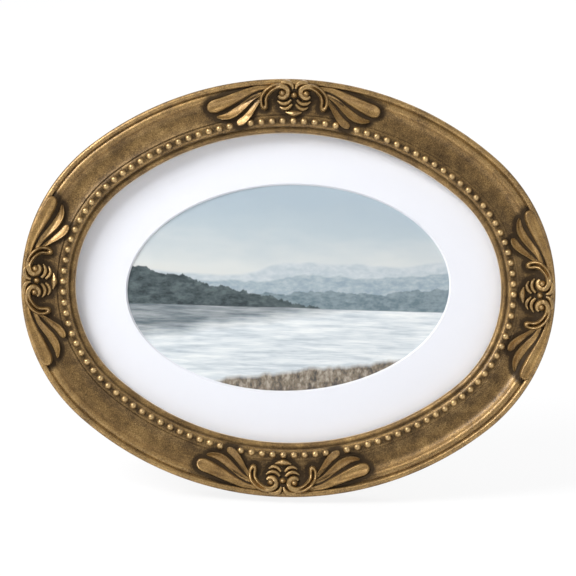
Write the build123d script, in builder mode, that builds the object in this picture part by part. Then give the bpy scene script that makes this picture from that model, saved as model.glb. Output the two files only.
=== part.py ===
"""Oval picture frame with carved ornaments, standing on its own strut.

All lengths are in millimetres.  +Z is up and the front of the frame faces -Y.
The frame leans back, so nearly everything is drawn on one leaning plane:
x to the right, u up along the lean, n out of the front, n = 0 on the back.
"""

import math
import os

from build123d import *

# overall sizes
frame_width = 239.0
frame_height = 187.0
rail_width = 24.2
lean_angle = 15.0
strut_opening = 24.0

# the parcel behind the sight opening, front to back
glass_thickness = 2.0
mat_thickness = 1.0
print_thickness = 0.25
board_thickness = 3.0
board_recess = 0.15
pane_clearance = 0.6
layer_gap = 0.05
rabbet_in = 16.9
mat_opening_width = 144.4
mat_opening_height = 92.2
mat_bevel = 0.8
mat_turn = 3.4

# moulding profile: distances in from the outer edge and heights over the back
back_inset = 1.6
side_height = 9.5
roll_foot_in = 0.0
roll_foot_height = 15.3
roll_top_in = 1.25
roll_top_height = 16.85
roll_end_in = 2.45
roll_end_height = 15.25
quirk_in = 2.9
quirk_height = 15.0
arris_in = 3.8
arris_height = 16.0
cove_mid_in = 9.2
cove_mid_height = 12.65
cove_end_in = 15.5
cove_end_height = 13.2
channel_start_in = 16.6
channel_end_in = 20.5
channel_height = 12.2
inner_arris_in = 21.0
inner_arris_height = 13.0
groove_in = 21.9
groove_height = 11.3
lip_start_in = 22.5
lip_start_height = 11.9
lip_end_height = 10.7
roll_facets = 4
cove_facets = 5

# row of beads
bead_in = 18.8
bead_radius = 1.5
bead_height = 1.3
bead_sides = 6
bead_taper = 30.0
beads_per_quarter = 29
leaf_tip_bead = 5
bead_seat = 0.03

# strut, its hinge and its rivets
hinge_up = 18.0
hinge_width = 24.0
hinge_plate_length = 16.0
hinge_leaf_length = 18.0
hinge_thickness = 0.8
knuckle_radius = 1.7
knuckle_gap = 0.4
knuckle_share = 0.3
pin_radius = 0.9
pin_fit = 0.05
hinge_standoff = 2.1
leaf_setback = 2.0
strut_thickness = 3.0
strut_top_width = 40.0
strut_waist_width = 34.0
strut_foot_width = 52.0
strut_heel = 5.0
strut_notch_depth = 2.3
strut_notch_width = 27.0
rivet_radius = 1.2
rivet_head_radius = 2.1
rivet_head_height = 0.8
rivet_depth = 2.0
rivet_spread = 15.0
hinge_corner = 2.0
pin_sides = 8

# turn buttons on the back
button_angle = 48.0
button_in = 9.2
button_reach = 13.0
button_pivot_radius = 4.4
button_nose_radius = 3.2
button_thickness = 1.0
button_lift = 0.1
screw_radius = 1.25
screw_fit = 0.05
screw_head_radius = 2.9
screw_head_height = 1.5
screw_depth = 6.0

# saw-tooth hanger on the back of the top rail
hanger_in = 9.0
hanger_length = 46.0
hanger_height = 9.0
hanger_thickness = 0.8
hanger_tab = 9.0
hanger_step = 1.5
hanger_rise = 2.2
hanger_tooth_count = 9
hanger_tooth_depth = 1.8
hanger_screw_radius = 0.9
hanger_screw_head_radius = 2.0
hanger_screw_head_height = 1.0
hanger_screw_depth = 5.0

# cuts run past the solid by this much
overrun = 2.0

# ornaments stand this far off the face, so that no facet dips into it
ornament_seat = 0.1
seat_steps = 8

# ornament drawn as shares of the rail width: along the rail from its middle
# line, inwards from the outer edge, half width and height of the ridge
knob_taper = 20.0
leaf_outer_shares = (
    (0.46, 0.190, 0.032, 0.046),
    (0.70, 0.215, 0.046, 0.060),
    (0.96, 0.325, 0.074, 0.078),
    (1.22, 0.455, 0.100, 0.090),
    (1.40, 0.535, 0.114, 0.092),
    (1.52, 0.582, 0.104, 0.080),
    (1.585, 0.604, 0.052, 0.044),
)
leaf_middle_shares = (
    (0.55, 0.280, 0.034, 0.048),
    (0.775, 0.390, 0.056, 0.062),
    (0.955, 0.550, 0.082, 0.074),
    (1.11, 0.682, 0.098, 0.076),
    (1.235, 0.745, 0.092, 0.068),
    (1.31, 0.772, 0.044, 0.040),
)
leaf_inner_shares = (
    (0.60, 0.355, 0.034, 0.046),
    (0.735, 0.540, 0.052, 0.056),
    (0.83, 0.695, 0.070, 0.064),
    (0.925, 0.790, 0.072, 0.062),
    (1.00, 0.832, 0.058, 0.052),
    (1.045, 0.850, 0.026, 0.028),
)
scroll_arm_shares = (
    (0.140, 0.300, 0.046, 0.066),
    (0.165, 0.215, 0.050, 0.070),
    (0.262, 0.172, 0.056, 0.076),
    (0.385, 0.192, 0.062, 0.078),
    (0.490, 0.265, 0.068, 0.082),
    (0.562, 0.372, 0.074, 0.084),
    (0.574, 0.485, 0.076, 0.084),
    (0.540, 0.575, 0.070, 0.076),
    (0.515, 0.622, 0.038, 0.040),
)
scroll_coil_shares = (
    (0.140, 0.300, 0.046, 0.066),
    (0.186, 0.366, 0.042, 0.060),
    (0.258, 0.384, 0.036, 0.056),
    (0.318, 0.346, 0.028, 0.048),
)
crescent_upper_shares = (
    (0.052, 0.410, 0.022, 0.040),
    (0.105, 0.462, 0.034, 0.050),
    (0.175, 0.492, 0.036, 0.052),
    (0.250, 0.484, 0.030, 0.048),
    (0.318, 0.440, 0.014, 0.030),
)
crescent_lower_shares = (
    (0.036, 0.500, 0.020, 0.038),
    (0.082, 0.550, 0.032, 0.046),
    (0.145, 0.578, 0.032, 0.046),
    (0.205, 0.574, 0.026, 0.042),
    (0.262, 0.550, 0.012, 0.026),
)
curl_shares = (
    (0.026, 0.178, 0.018, 0.042),
    (0.052, 0.118, 0.038, 0.050),
    (0.115, 0.074, 0.044, 0.052),
    (0.190, 0.070, 0.040, 0.048),
    (0.245, 0.094, 0.022, 0.036),
)
lozenge_shares = (
    (-0.170, 0.632, 0.010, 0.022),
    (-0.085, 0.640, 0.028, 0.044),
    (0.000, 0.646, 0.048, 0.064),
    (0.085, 0.640, 0.028, 0.044),
    (0.170, 0.632, 0.010, 0.022),
)
# the ornaments at the two ends are squeezed a little towards the outer edge
long_squeeze_share = 1.0
end_squeeze_share = 0.95
eye_share = (0.240, 0.288, 0.058, 0.100)
centre_bead_share = (0.0, 0.330, 0.056, 0.090)

# the round ends of the oval are drawn with this share of half its height
end_round_share = 0.845

half_width = frame_width / 2
half_height = frame_height / 2
parcel_depth = board_thickness + print_thickness + mat_thickness + glass_thickness + 4 * layer_gap
rabbet_depth = board_recess + parcel_depth


def leaning(angle, origin):
    """Plane that leans back from upright by an angle, its normal to the front."""
    tilt = math.radians(angle)
    return Plane(origin=origin, x_dir=(1, 0, 0), z_dir=(0, -math.cos(tilt), math.sin(tilt)))


# the oval is struck from four centres: a short radius at each end of the long
# axis and a long radius at each end of the short axis, meeting on one line
end_radius = end_round_share * half_height
end_centre = half_width - end_radius
long_radius = (end_centre**2 + half_height**2 - end_radius**2) / (2 * (half_height - end_radius))
long_centre = half_height - long_radius
joint_angle = math.degrees(math.atan2(-long_centre, end_centre))

# the lowest point of the back edge is the origin of the whole part
foot_drop = half_height - back_inset
lean = math.radians(lean_angle)
centre = (0, foot_drop * math.sin(lean), foot_drop * math.cos(lean))
face_plane = leaning(lean_angle, centre)
right_dir = face_plane.x_dir
up_dir = face_plane.y_dir
front_dir = face_plane.z_dir
side_mirror = Plane(origin=centre, z_dir=right_dir)
level_mirror = Plane(origin=centre, z_dir=up_dir)


def at(x, u, n):
    """Point of the part from its place on the leaning frame."""
    return face_plane.from_local_coords(Vector(x, u, n))


def turned(x, u):
    """Direction on the leaning plane."""
    return right_dir * x + up_dir * u


def faceted(start, middle, end, count):
    """Points along an arc through three points, so that its run stays light."""
    arc = ThreePointArc(start, middle, end, mode=Mode.PRIVATE)
    return [arc.position_at(i / count) for i in range(count + 1)]


cove_points = faceted(
    (arris_in, arris_height),
    (cove_mid_in, cove_mid_height),
    (cove_end_in, cove_end_height),
    cove_facets,
)
roll_crown = Vector(roll_top_in, roll_top_height)


def face_height(inset):
    """Height of the face that carries the ornaments, bridging roll and channel."""
    for near, far in zip([roll_crown] + cove_points, cove_points):
        if near.X <= inset <= far.X:
            return near.Y + (far.Y - near.Y) * (inset - near.X) / (far.X - near.X)
    return roll_top_height if inset < roll_top_in else cove_end_height


def oval_outline(inset):
    """Draw the four arcs of the oval, moved inwards by a distance."""
    end_arc = 2 * joint_angle
    long_arc = 180 - end_arc
    CenterArc((end_centre, 0), end_radius - inset, -joint_angle, end_arc)
    CenterArc((0, long_centre), long_radius - inset, joint_angle, long_arc)
    CenterArc((-end_centre, 0), end_radius - inset, 180 - joint_angle, end_arc)
    CenterArc((0, -long_centre), long_radius - inset, 180 + joint_angle, long_arc)


def oval_spot(turn, inset):
    """Point of the first quarter of the oval where its normal has an angle."""
    angle = math.radians(turn)
    if turn <= joint_angle:
        x = end_centre + (end_radius - inset) * math.cos(angle)
        return x, (end_radius - inset) * math.sin(angle)
    u = long_centre + (long_radius - inset) * math.sin(angle)
    return (long_radius - inset) * math.cos(angle), u


def back_place(x, u, behind):
    """Place on the back of the frame whose own z points away to the rear."""
    return Plane(origin=at(x, u, -behind), x_dir=right_dir, z_dir=-front_dir)


# turn buttons stand square to the oval in its four quarters
button_out_x = math.cos(math.radians(button_angle))
button_out_u = math.sin(math.radians(button_angle))
button_x, button_u = oval_spot(button_angle, button_in)
button_sides = {
    "upper_right": (1, 1),
    "upper_left": (-1, 1),
    "lower_left": (-1, -1),
    "lower_right": (1, -1),
}
hanger_u = half_height - hanger_in
hanger_screw_x = (hanger_length - hanger_tab) / 2


def headed_pin(place, radius, depth, head_radius, head_height):
    """Stand a plain head on a place, with its shank running back through it."""
    with BuildSketch(place) as head:
        RegularPolygon(head_radius, pin_sides)
    extrude(head.sketch, head_height)
    with BuildSketch(place) as shank:
        RegularPolygon(radius, pin_sides)
    extrude(shank.sketch, -depth)


# moulding: the profile is turned about the four centres in one unbroken run
corner_x, corner_u = oval_spot(joint_angle, 0)
corner_out = turned(corner_x - end_centre, corner_u).normalized()
corner_along = front_dir.cross(corner_out)
profile_plane = Plane(origin=at(corner_x, corner_u, 0), x_dir=-corner_out, z_dir=corner_along)
end_axis = Axis(at(end_centre, 0, 0), front_dir)
long_axis = Axis(at(0, long_centre, 0), front_dir)


def rail_profile():
    """Draw the closed outline of the rail: inwards along x, to the front along y."""
    roll = faceted(
        (roll_foot_in, roll_foot_height),
        (roll_top_in, roll_top_height),
        (roll_end_in, roll_end_height),
        roll_facets,
    )
    Polyline(
        (rabbet_in, 0),
        (back_inset, 0),
        (back_inset, side_height),
        *roll,
        (quirk_in, quirk_height),
        *cove_points,
        (channel_start_in, channel_height),
        (channel_end_in, channel_height),
        (inner_arris_in, inner_arris_height),
        (groove_in, groove_height),
        (lip_start_in, lip_start_height),
        (rail_width, lip_end_height),
        (rail_width, rabbet_depth),
        (rabbet_in, rabbet_depth),
        close=True,
    )


with BuildPart() as moulding:
    with BuildSketch(profile_plane):
        with BuildLine():
            rail_profile()
        make_face()
    revolve(axis=end_axis, revolution_arc=-2 * joint_angle)
    with BuildSketch(profile_plane):
        with BuildLine():
            rail_profile()
        make_face()
    revolve(axis=long_axis, revolution_arc=180 - 2 * joint_angle)
    mirror(about=side_mirror)
    mirror(about=level_mirror)
    for side_x, side_u in button_sides.values():
        with BuildSketch(back_place(side_x * button_x, side_u * button_u, 0)):
            RegularPolygon(screw_radius + screw_fit, pin_sides)
        extrude(amount=-screw_depth - screw_fit, mode=Mode.SUBTRACT)
    for side_x in (1, -1):
        with BuildSketch(back_place(side_x * hanger_screw_x, hanger_u, 0)):
            RegularPolygon(hanger_screw_radius + screw_fit, pin_sides)
        extrude(amount=-hanger_screw_depth - screw_fit, mode=Mode.SUBTRACT)


# ornament: every leaf and scroll is a string of ridged sections whose two feet
# stand on the face of the moulding
class Rail:
    """One end of an axis of the oval, as a place for an ornament."""

    def __init__(self, radius, on_top, squeeze_share):
        self.radius = radius
        self.on_top = on_top
        self.squeeze_share = squeeze_share

    def spot(self, along_share, inward_share, rise):
        along = along_share * rail_width
        inward = inward_share * self.squeeze_share * rail_width
        inset = self.radius - math.hypot(self.radius - inward, along)
        height = face_height(inset) + ornament_seat + rise
        if self.on_top:
            return at(along, half_height - inward, height)
        return at(half_width - inward, along, height)


def carve(shares, rail):
    """Cut one ridged leaf, scroll or crescent in flat facets."""
    sections = []
    for i, (along, inward, half, ridge) in enumerate(shares):
        before = shares[max(i - 1, 0)]
        after = shares[min(i + 1, len(shares) - 1)]
        run = math.hypot(after[0] - before[0], after[1] - before[1])
        side_along = half * (before[1] - after[1]) / run
        side_inward = half * (after[0] - before[0]) / run
        seat = []
        for step in range(seat_steps + 1):
            side = 2 * step / seat_steps - 1
            seat.append(rail.spot(along + side * side_along, inward + side * side_inward, 0))
        left, right = seat[0], seat[-1]
        poke = 0
        for step, spot in enumerate(seat):
            chord = left + (right - left) * (step / seat_steps)
            poke = max(poke, (spot - chord).dot(front_dir))
        lift = front_dir * poke
        sections.append((left + lift, right + lift, rail.spot(along, inward, ridge * rail_width) + lift))
    facets = [Face(Wire.make_polygon(sections[0])), Face(Wire.make_polygon(sections[-1]))]
    for near, far in zip(sections, sections[1:]):
        for i in range(-1, 2):
            facets.append(Face(Wire.make_polygon((near[i], near[i + 1], far[i + 1]))))
            facets.append(Face(Wire.make_polygon((near[i], far[i + 1], far[i]))))
    add(Solid(Shell(facets)))


def knob(share, rail):
    """A faceted boss standing clear of the hollow face."""
    along, inward, half, ridge = share
    radius = half * rail_width
    spot = rail.spot(along, inward, 0)
    outer_rim = rail.spot(along, inward - half, 0)
    inner_rim = rail.spot(along, inward + half, 0)
    rim = max(outer_rim.dot(front_dir), inner_rim.dot(front_dir))
    spot += front_dir * (rim - spot.dot(front_dir))
    with BuildSketch(Plane(origin=spot, x_dir=right_dir, z_dir=front_dir)) as section:
        RegularPolygon(radius, pin_sides)
    extrude(section.sketch, ridge * rail_width, taper=knob_taper)


side_shares = (
    leaf_outer_shares,
    leaf_middle_shares,
    leaf_inner_shares,
    scroll_arm_shares,
    scroll_coil_shares,
    crescent_upper_shares,
    crescent_lower_shares,
    curl_shares,
)
top_rail = Rail(long_radius, True, long_squeeze_share)
side_rail = Rail(end_radius, False, end_squeeze_share)
with BuildPart() as ornaments_long:
    for shares in side_shares:
        carve(shares, top_rail)
    knob(eye_share, top_rail)
    mirror(about=side_mirror)
    carve(lozenge_shares, top_rail)
    knob(centre_bead_share, top_rail)
    mirror(about=level_mirror)
with BuildPart() as ornaments_end:
    for shares in side_shares:
        carve(shares, side_rail)
    knob(eye_share, side_rail)
    mirror(about=level_mirror)
    carve(lozenge_shares, side_rail)
    knob(centre_bead_share, side_rail)
    mirror(about=side_mirror)

# beads: cut studs on the flat floor of the channel, evenly spaced round it; the
# tip of the inner leaf takes one bead's place on each side, top and bottom
bead_end_radius = end_radius - bead_in
bead_long_radius = long_radius - bead_in
bead_end_run = bead_end_radius * math.radians(joint_angle)
bead_long_run = bead_long_radius * math.radians(90 - joint_angle)
bead_pitch = (bead_end_run + bead_long_run) / beads_per_quarter
bead_spots = set()
for i in range(beads_per_quarter + 1):
    run = i * bead_pitch
    turn = math.degrees(run / bead_end_radius)
    if run > bead_end_run:
        turn = joint_angle + math.degrees((run - bead_end_run) / bead_long_radius)
    x, u = oval_spot(turn, bead_in)
    if i != beads_per_quarter - leaf_tip_bead:
        for side_x, side_u in button_sides.values():
            if i == 0:
                side_u = 0
            if i == beads_per_quarter:
                side_x = 0
            bead_spots.add((side_x * x, side_u * u))
with BuildPart() as bead_course:
    with BuildSketch(face_plane.offset(channel_height + bead_seat)):
        with Locations(*sorted(bead_spots)):
            RegularPolygon(bead_radius, bead_sides)
    extrude(amount=bead_height, taper=bead_taper)

# parcel: print, mat and glass are laid on the back board; the mat's opening is
# cut a few degrees askew to the frame
pane_in = rabbet_in + pane_clearance
print_back = board_recess + board_thickness + layer_gap
mat_back = print_back + print_thickness + layer_gap
glass_back = mat_back + mat_thickness + layer_gap
opening_x = mat_opening_width / 2
opening_u = mat_opening_height / 2
with BuildPart() as glass:
    with BuildSketch(face_plane.offset(glass_back)):
        with BuildLine():
            oval_outline(pane_in)
        make_face()
    extrude(amount=glass_thickness)
with BuildPart() as mat:
    with BuildSketch(face_plane.offset(mat_back)):
        with BuildLine():
            oval_outline(pane_in)
        make_face()
    extrude(amount=mat_thickness)
    with BuildSketch(face_plane.offset(mat_back)):
        Ellipse(opening_x, opening_u, rotation=mat_turn)
    with BuildSketch(face_plane.offset(glass_back)):
        Ellipse(opening_x + mat_bevel, opening_u + mat_bevel, rotation=mat_turn)
    loft(mode=Mode.SUBTRACT)
with BuildPart() as picture_print:
    with BuildSketch(face_plane.offset(print_back)):
        with BuildLine():
            oval_outline(pane_in)
        make_face()
    extrude(amount=print_thickness)

# hinge: the plate is riveted to the board, the leaf to the strut
hinge_n = board_recess - hinge_standoff
hinge_spot = at(0, hinge_up, hinge_n)
strut_plane = leaning(lean_angle - strut_opening, hinge_spot)
fixed_knuckle = hinge_width * knuckle_share
moving_space = hinge_width - 2 * fixed_knuckle
moving_knuckle = moving_space - 2 * knuckle_gap
plate_rivet_u = hinge_up + (leaf_setback + hinge_plate_length) / 2
leaf_rivet_u = -(leaf_setback + hinge_leaf_length) / 2
rivet_x = rivet_spread / 2
board_face = face_plane.offset(board_recess)
strut_rear = strut_plane.offset(-strut_thickness / 2)
with BuildPart() as hinge_plate:
    with BuildSketch(board_face):
        with Locations((0, hinge_up + hinge_plate_length / 2)):
            Rectangle(hinge_width, hinge_plate_length)
        with Locations((0, hinge_up)):
            Rectangle(moving_space, 2 * leaf_setback, mode=Mode.SUBTRACT)
        with Locations((rivet_x, plate_rivet_u), (-rivet_x, plate_rivet_u)):
            RegularPolygon(rivet_radius + pin_fit, pin_sides, mode=Mode.SUBTRACT)
    extrude(amount=-hinge_thickness)
    upright_edges = hinge_plate.edges().filter_by(Axis(centre, front_dir))
    fillet(upright_edges.group_by(Axis(centre, up_dir))[-1], hinge_corner)
    for start in (-hinge_width / 2, hinge_width / 2 - fixed_knuckle):
        with BuildSketch(Plane(origin=at(start, hinge_up, hinge_n), z_dir=right_dir)):
            Circle(knuckle_radius)
        extrude(amount=fixed_knuckle)
    with BuildSketch(Plane(origin=hinge_spot, z_dir=right_dir)):
        Circle(pin_radius + pin_fit)
    extrude(amount=hinge_width, both=True, mode=Mode.SUBTRACT)
with BuildPart() as hinge_leaf:
    with BuildSketch(strut_rear):
        with Locations((0, -(leaf_setback + hinge_leaf_length) / 2)):
            Rectangle(hinge_width, hinge_leaf_length - leaf_setback)
        with Locations((0, -leaf_setback)):
            Rectangle(moving_knuckle, 2 * leaf_setback)
        with Locations((rivet_x, leaf_rivet_u), (-rivet_x, leaf_rivet_u)):
            RegularPolygon(rivet_radius + pin_fit, pin_sides, mode=Mode.SUBTRACT)
    extrude(amount=-hinge_thickness)
    with BuildSketch(Plane(origin=at(-moving_knuckle / 2, hinge_up, hinge_n), z_dir=right_dir)):
        Circle(knuckle_radius)
    extrude(amount=moving_knuckle)
    with BuildSketch(Plane(origin=hinge_spot, z_dir=right_dir)):
        Circle(pin_radius + pin_fit)
    extrude(amount=hinge_width, both=True, mode=Mode.SUBTRACT)
with BuildPart() as hinge_pin:
    with BuildSketch(Plane(origin=hinge_spot, z_dir=right_dir)):
        Circle(pin_radius)
    extrude(amount=hinge_width / 2, both=True)
with BuildPart() as hinge_plate_rivets:
    for side in (1, -1):
        place = back_place(side * rivet_x, plate_rivet_u, hinge_thickness - board_recess)
        headed_pin(place, rivet_radius, hinge_thickness + rivet_depth, rivet_head_radius, rivet_head_height)
with BuildPart() as hinge_leaf_rivets:
    for side in (1, -1):
        leaf_face = strut_rear.offset(-hinge_thickness)
        origin = leaf_face.from_local_coords(Vector(side * rivet_x, leaf_rivet_u, 0))
        place = Plane(origin=origin, x_dir=right_dir, z_dir=-strut_plane.z_dir)
        headed_pin(place, rivet_radius, hinge_thickness + rivet_depth, rivet_head_radius, rivet_head_height)

# back board and strut; the heel of the strut is bevelled to bear on the board
# when it is open, and its foot is cut level with the table
with BuildPart() as back_board:
    with BuildSketch(board_face):
        with BuildLine():
            oval_outline(pane_in)
        make_face()
    extrude(amount=board_thickness)
    with BuildSketch(board_face):
        with Locations((rivet_x, plate_rivet_u), (-rivet_x, plate_rivet_u)):
            RegularPolygon(rivet_radius + pin_fit, pin_sides)
    extrude(amount=rivet_depth + pin_fit, mode=Mode.SUBTRACT)
strut_length = hinge_spot.Z / math.cos(math.radians(strut_opening - lean_angle))
with BuildPart() as strut:
    with BuildSketch(strut_plane):
        with BuildLine():
            Line((strut_top_width / 2, 0), (strut_top_width / 2, strut_heel))
            Line((strut_top_width / 2, strut_heel), (-strut_top_width / 2, strut_heel))
            Line((-strut_top_width / 2, strut_heel), (-strut_top_width / 2, 0))
            ThreePointArc(
                (-strut_top_width / 2, 0),
                (-strut_waist_width / 2, -strut_length / 2),
                (-strut_foot_width / 2, -strut_length - overrun),
            )
            Line(
                (-strut_foot_width / 2, -strut_length - overrun),
                (strut_foot_width / 2, -strut_length - overrun),
            )
            ThreePointArc(
                (strut_foot_width / 2, -strut_length - overrun),
                (strut_waist_width / 2, -strut_length / 2),
                (strut_top_width / 2, 0),
            )
        make_face()
        with Locations((0, (strut_heel - strut_notch_depth) / 2)):
            Rectangle(strut_notch_width, strut_heel + strut_notch_depth, mode=Mode.SUBTRACT)
        with Locations((rivet_x, leaf_rivet_u), (-rivet_x, leaf_rivet_u)):
            RegularPolygon(rivet_radius + pin_fit, pin_sides, mode=Mode.SUBTRACT)
    extrude(amount=strut_thickness / 2, both=True)
    split(bisect_by=Plane.XY, keep=Keep.TOP)
    split(bisect_by=board_face, keep=Keep.BOTTOM)

# turn buttons and their screws
buttons = {}
for name, (side_x, side_u) in button_sides.items():
    inward = turned(-side_x * button_out_x, -side_u * button_out_u)
    pivot = at(side_x * button_x, side_u * button_u, -button_lift)
    button_plane = Plane(origin=pivot, x_dir=inward, z_dir=-front_dir)
    nose = button_reach - button_nose_radius
    with BuildPart() as turn_button:
        with BuildSketch(button_plane):
            RegularPolygon(button_pivot_radius, pin_sides)
            with Locations((nose, 0)):
                RegularPolygon(button_nose_radius, pin_sides)
            make_hull()
            Circle(screw_radius + screw_fit, mode=Mode.SUBTRACT)
        extrude(amount=button_thickness)
    buttons[name] = turn_button
screw_lift = 2 * button_lift + button_thickness
with BuildPart() as turn_button_screws:
    for side_x, side_u in button_sides.values():
        place = back_place(side_x * button_x, side_u * button_u, screw_lift)
        headed_pin(place, screw_radius, screw_lift + screw_depth, screw_head_radius, screw_head_height)

# hanger: the strip is stepped away from the rail so that a nail goes under it
middle_half = hanger_length / 2 - hanger_tab - hanger_step
tab_half = hanger_length / 2 - hanger_tab
tooth = 2 * middle_half / hanger_tooth_count
with BuildPart() as hanger:
    with BuildSketch(Plane(origin=at(0, hanger_u, 0), x_dir=right_dir, z_dir=up_dir)):
        with BuildLine():
            Polyline(
                (-hanger_length / 2, 0),
                (-tab_half, 0),
                (-middle_half, hanger_rise),
                (middle_half, hanger_rise),
                (tab_half, 0),
                (hanger_length / 2, 0),
                (hanger_length / 2, hanger_thickness),
                (tab_half, hanger_thickness),
                (middle_half, hanger_rise + hanger_thickness),
                (-middle_half, hanger_rise + hanger_thickness),
                (-tab_half, hanger_thickness),
                (-hanger_length / 2, hanger_thickness),
                close=True,
            )
        make_face()
    extrude(amount=hanger_height / 2, both=True)
    with BuildSketch(back_place(0, hanger_u, 0)):
        for i in range(hanger_tooth_count):
            start = -middle_half + i * tooth
            Polygon(
                (start, hanger_height / 2),
                (start + tooth / 2, hanger_height / 2 - hanger_tooth_depth),
                (start + tooth, hanger_height / 2),
                align=None,
            )
        with Locations((hanger_screw_x, 0), (-hanger_screw_x, 0)):
            RegularPolygon(hanger_screw_radius + screw_fit, pin_sides)
    extrude(amount=hanger_rise + hanger_thickness + overrun, mode=Mode.SUBTRACT)
with BuildPart() as hanger_screws:
    for side in (1, -1):
        headed_pin(
            back_place(side * hanger_screw_x, hanger_u, hanger_thickness),
            hanger_screw_radius,
            hanger_thickness + hanger_screw_depth,
            hanger_screw_head_radius,
            hanger_screw_head_height,
        )

pieces = {
    "moulding": moulding,
    "bead_course": bead_course,
    "ornaments_top_bottom": ornaments_long,
    "ornaments_left_right": ornaments_end,
    "glass": glass,
    "mat": mat,
    "picture_print": picture_print,
    "back_board": back_board,
    "hinge_plate": hinge_plate,
    "hinge_plate_rivets": hinge_plate_rivets,
    "hinge_pin": hinge_pin,
    "hinge_leaf": hinge_leaf,
    "hinge_leaf_rivets": hinge_leaf_rivets,
    "strut": strut,
    "turn_button_screws": turn_button_screws,
    "hanger": hanger,
    "hanger_screws": hanger_screws,
}
for name, button in buttons.items():
    pieces["turn_button_" + name] = button
os.makedirs("parts", exist_ok=True)
for name, piece in pieces.items():
    piece.part.label = name
    export_step(piece.part, "parts/" + name + ".step")
    print(name, len(piece.part.solids()), piece.part.is_valid, round(piece.part.volume, 1))
print("hinge axis", hinge_spot, "strut length", round(strut_length, 2))
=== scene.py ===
# %% [markdown]
# An oval gilt picture frame that stands on a strut.  The CAD nodes are the fixed
# frame; this lesson dresses them.

# %% Load the frame
import math
import bpy
import bmesh
from mathutils import Matrix, Vector, kdtree


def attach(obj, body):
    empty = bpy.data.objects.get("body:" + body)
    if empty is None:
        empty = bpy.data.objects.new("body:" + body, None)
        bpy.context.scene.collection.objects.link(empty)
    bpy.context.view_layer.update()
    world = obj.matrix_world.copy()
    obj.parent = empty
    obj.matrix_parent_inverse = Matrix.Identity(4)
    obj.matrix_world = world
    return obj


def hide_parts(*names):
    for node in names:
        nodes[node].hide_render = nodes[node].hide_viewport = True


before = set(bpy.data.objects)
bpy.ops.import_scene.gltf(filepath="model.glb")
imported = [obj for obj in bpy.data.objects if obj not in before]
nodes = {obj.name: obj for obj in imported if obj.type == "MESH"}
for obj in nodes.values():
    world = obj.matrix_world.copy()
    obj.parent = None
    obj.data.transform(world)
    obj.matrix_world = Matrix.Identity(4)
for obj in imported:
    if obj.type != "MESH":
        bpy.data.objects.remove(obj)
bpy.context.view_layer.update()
scene = bpy.context.scene
print("CAD nodes", len(nodes))

# %% [markdown]
# Nearly everything on a picture frame is drawn on its face.  So pieces are made
# lying on a table of their own, x to the right, u up the face and n out of the
# front, and one matrix leans the finished mesh back by fifteen degrees.

# %% The leaning face
mm = 0.001
lean = math.radians(15)
half_width, half_height, rail_width = 119.5 * mm, 93.5 * mm, 24.2 * mm
foot_drop = half_height - 1.6 * mm
face_place = Matrix((
    (1, 0, 0, 0),
    (0, math.sin(lean), -math.cos(lean), foot_drop * math.sin(lean)),
    (0, math.cos(lean), math.sin(lean), foot_drop * math.cos(lean)),
    (0, 0, 0, 1),
))
face_turn = (math.radians(90) - lean, 0, 0)
face_centre = face_place.translation


def finish_piece(name, bm, body, lean_back=True, smooth_angle=40):
    """Close a bmesh into an object that lies on the face and rides on a body."""
    bmesh.ops.recalc_face_normals(bm, faces=bm.faces[:])
    if lean_back:
        bmesh.ops.transform(bm, matrix=face_place, verts=bm.verts[:])
    mesh = bpy.data.meshes.new(name)
    bm.to_mesh(mesh)
    bm.free()
    mesh.shade_smooth()
    mesh.set_sharp_from_angle(angle=math.radians(smooth_angle))
    piece = bpy.data.objects.new(name, mesh)
    scene.collection.objects.link(piece)
    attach(piece, body)
    print(name, len(mesh.vertices), "vertices")
    return piece


# %% [markdown]
# The picture was taken square on to the face with a long lens, the frame turned
# a little clockwise.  A camera far out on the face's own normal gives the same
# view, and turning its up vector by the same small angle gives the same tilt.

# %% Camera
reach = 2.4
picture_side = 257.6 * mm
roll = math.radians(1.72)
out = face_place.to_3x3() @ Vector((0, 0, 1))
up = face_place.to_3x3() @ Vector((-math.sin(roll), math.cos(roll), 0))
aim = face_place @ Vector((-0.16 * mm, 0, 12 * mm))
camera_data = bpy.data.cameras.new("camera")
camera_data.sensor_width = 36
camera_data.lens = 36 * reach / picture_side
camera_data.clip_end = 50
camera = bpy.data.objects.new("camera", camera_data)
side = up.cross(out)
camera.matrix_world = Matrix((
    (side.x, up.x, out.x, aim.x + out.x * reach),
    (side.y, up.y, out.y, aim.y + out.y * reach),
    (side.z, up.z, out.z, aim.z + out.z * reach),
    (0, 0, 0, 1),
))
scene.collection.objects.link(camera)
scene.camera = camera
print("lens", round(camera_data.lens, 1), "mm")

# %% [markdown]
# The light is that of a plain product table: one broad soft lamp high on the
# left, a weaker one on the right, and a pale room round about that is dimmer
# towards the front.  So slopes catch the light and flat gold stays deep.

# %% Lamps and room
def lamp(name, spot, size, power):
    """A square lamp that looks at the middle of the frame."""
    data = bpy.data.lights.new(name, "AREA")
    data.size = size
    data.energy = power
    thing = bpy.data.objects.new(name, data)
    thing.location = spot
    aim_at = face_centre - Vector(spot)
    thing.rotation_euler = aim_at.to_track_quat("-Z", "Y").to_euler()
    scene.collection.objects.link(thing)


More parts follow.
